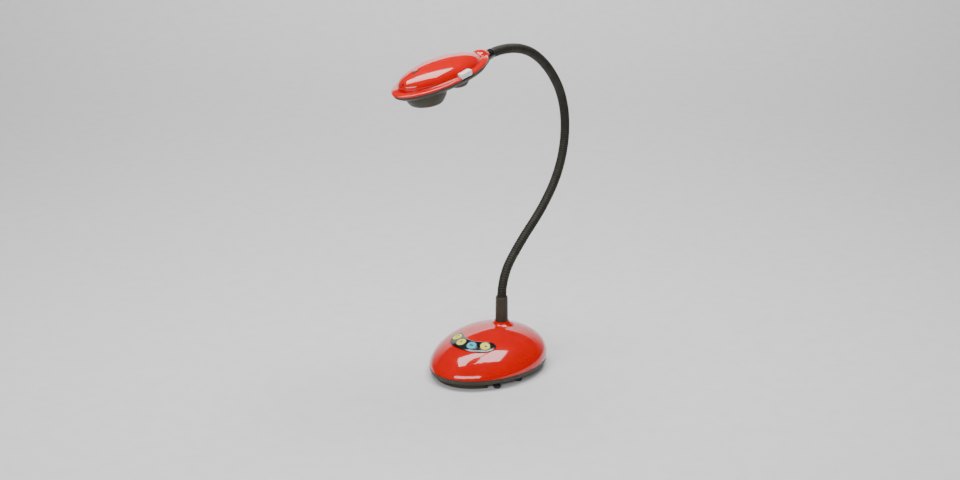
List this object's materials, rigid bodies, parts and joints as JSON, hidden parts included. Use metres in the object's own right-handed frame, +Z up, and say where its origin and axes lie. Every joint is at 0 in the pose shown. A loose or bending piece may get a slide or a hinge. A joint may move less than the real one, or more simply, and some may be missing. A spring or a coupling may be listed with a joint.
{
  "type": "document camera",
  "caption": "Desktop document camera with a weighted oval base and keypad, a bendable gooseneck and an oval camera head with lens and lamp.",
  "frame": {"origin": "on the table, under the middle of the whole object's outline", "axes": "+Z up, -Y towards the front, where the head points and the keypad is, +X to the left of someone who faces the device"},
  "size_m": [0.1546, 0.362, 0.4756],
  "materials": {
    "gloss_red": "glossy",
    "dark_plastic": "satin",
    "gloss_black": "glossy",
    "neck_black": "satin ribbed",
    "rubber_black": "matt",
    "steel": "plain",
    "board_green": "solder mask",
    "key_yellow": "satin",
    "key_cyan": "satin",
    "key_white": "satin",
    "clear_glass": "clear",
    "grey_plastic": "satin"
  },
  "bodies": {
    "base": {"ballast_plate": "steel", "base_pan": "dark_plastic", "base_screw_1": "steel", "base_screw_2": "steel", "base_screw_3": "steel", "base_screw_4": "steel", "base_shell": "gloss_red", "cable_tail": "rubber_black", "foot_1": "rubber_black", "foot_2": "rubber_black", "foot_3": "rubber_black", "foot_4": "rubber_black", "foot_5": "rubber_black", "foot_6": "rubber_black", "front_foot": "dark_plastic", "keypad_bezel": "gloss_black", "keypad_board": "board_green", "main_board": "board_green", "neck_collar": "gloss_red", "neck_link_0": "neck_black", "neck_nut": "steel", "neck_sleeve": "dark_plastic", "neck_socket": "steel", "tact_switch_1": "grey_plastic", "tact_switch_2": "grey_plastic", "tact_switch_3": "grey_plastic", "tact_switch_4": "grey_plastic", "usb_socket": "steel"},
    "body_key_1": {"key_1": "key_yellow"},
    "body_key_2": {"key_2": "key_yellow"},
    "body_key_3": {"key_3": "key_cyan"},
    "body_key_4": {"key_4": "key_yellow"},
    "neck_1": {"neck_link_1": "neck_black"},
    "neck_2": {"neck_link_2": "neck_black"},
    "neck_3": {"neck_link_3": "neck_black"},
    "neck_4": {"neck_link_4": "neck_black"},
    "neck_5": {"neck_link_5": "neck_black"},
    "neck_6": {"neck_link_6": "neck_black"},
    "neck_7": {"neck_link_7": "neck_black"},
    "head": {"head_ferrule": "gloss_black", "head_screw_1": "steel", "head_screw_2": "steel", "head_screw_3": "steel", "head_shell": "gloss_red", "head_under_cover": "dark_plastic", "lamp_led": "key_white", "lamp_lens": "clear_glass", "lamp_switch": "grey_plastic", "lens_barrel": "gloss_black", "lens_bezel": "gloss_black", "lens_glass": "clear_glass", "microphone": "gloss_black", "sensor_board": "board_green", "status_light": "grey_plastic", "neck_link_8": "neck_black"},
    "lamp_button": {"lamp_key": "key_white"}
  },
  "joints": [
    {"name": "key_1_press", "type": "slide", "parent": "base", "child": "body_key_1", "axis": [0.2439, 0.2482, -0.9375], "range_m": [0, 0.0008], "stiffness_N_per_m": 600},
    {"name": "key_2_press", "type": "slide", "parent": "base", "child": "body_key_2", "axis": [0.0952, 0.2985, -0.9496], "range_m": [0, 0.0008], "stiffness_N_per_m": 600},
    {"name": "key_3_press", "type": "slide", "parent": "base", "child": "body_key_3", "axis": [-0.0952, 0.2985, -0.9496], "range_m": [0, 0.0008], "stiffness_N_per_m": 600},
    {"name": "key_4_press", "type": "slide", "parent": "base", "child": "body_key_4", "axis": [-0.2439, 0.2482, -0.9375], "range_m": [0, 0.0008], "stiffness_N_per_m": 600},
    {"name": "neck_bend_1", "type": "hinge", "parent": "base", "child": "neck_1", "pos_m": [0, 0.05361, 0.15306], "axis": [1, 0, 0], "range_deg": [-25, 25]},
    {"name": "neck_sway_2", "type": "hinge", "parent": "neck_1", "child": "neck_2", "pos_m": [0, 0.09761, 0.19199], "axis": [0, 0.6088, -0.7934], "range_deg": [-25, 25]},
    {"name": "neck_bend_3", "type": "hinge", "parent": "neck_2", "child": "neck_3", "pos_m": [0, 0.14019, 0.2324], "axis": [1, 0, 0], "range_deg": [-25, 25]},
    {"name": "neck_sway_4", "type": "hinge", "parent": "neck_3", "child": "neck_4", "pos_m": [0, 0.16827, 0.28359], "axis": [0, 0.9563, -0.2924], "range_deg": [-25, 25]},
    {"name": "neck_bend_5", "type": "hinge", "parent": "neck_4", "child": "neck_5", "pos_m": [0, 0.1731, 0.34174], "axis": [1, 0, 0], "range_deg": [-25, 25]},
    {"name": "neck_sway_6", "type": "hinge", "parent": "neck_5", "child": "neck_6", "pos_m": [0, 0.15246, 0.39624], "axis": [0, -0.829, -0.5592], "range_deg": [-25, 25]},
    {"name": "neck_bend_7", "type": "hinge", "parent": "neck_6", "child": "neck_7", "pos_m": [0, 0.11217, 0.43869], "axis": [1, 0, 0], "range_deg": [-25, 20]},
    {"name": "neck_sway_8", "type": "hinge", "parent": "neck_7", "child": "head", "pos_m": [0, 0.05882, 0.46216], "axis": [0, -0.1822, -0.9833], "range_deg": [-25, 25]},
    {"name": "lamp_key_press", "type": "slide", "parent": "head", "child": "lamp_button", "axis": [-1, 0, 0], "range_m": [0, 0.001], "stiffness_N_per_m": 600}
  ]
}
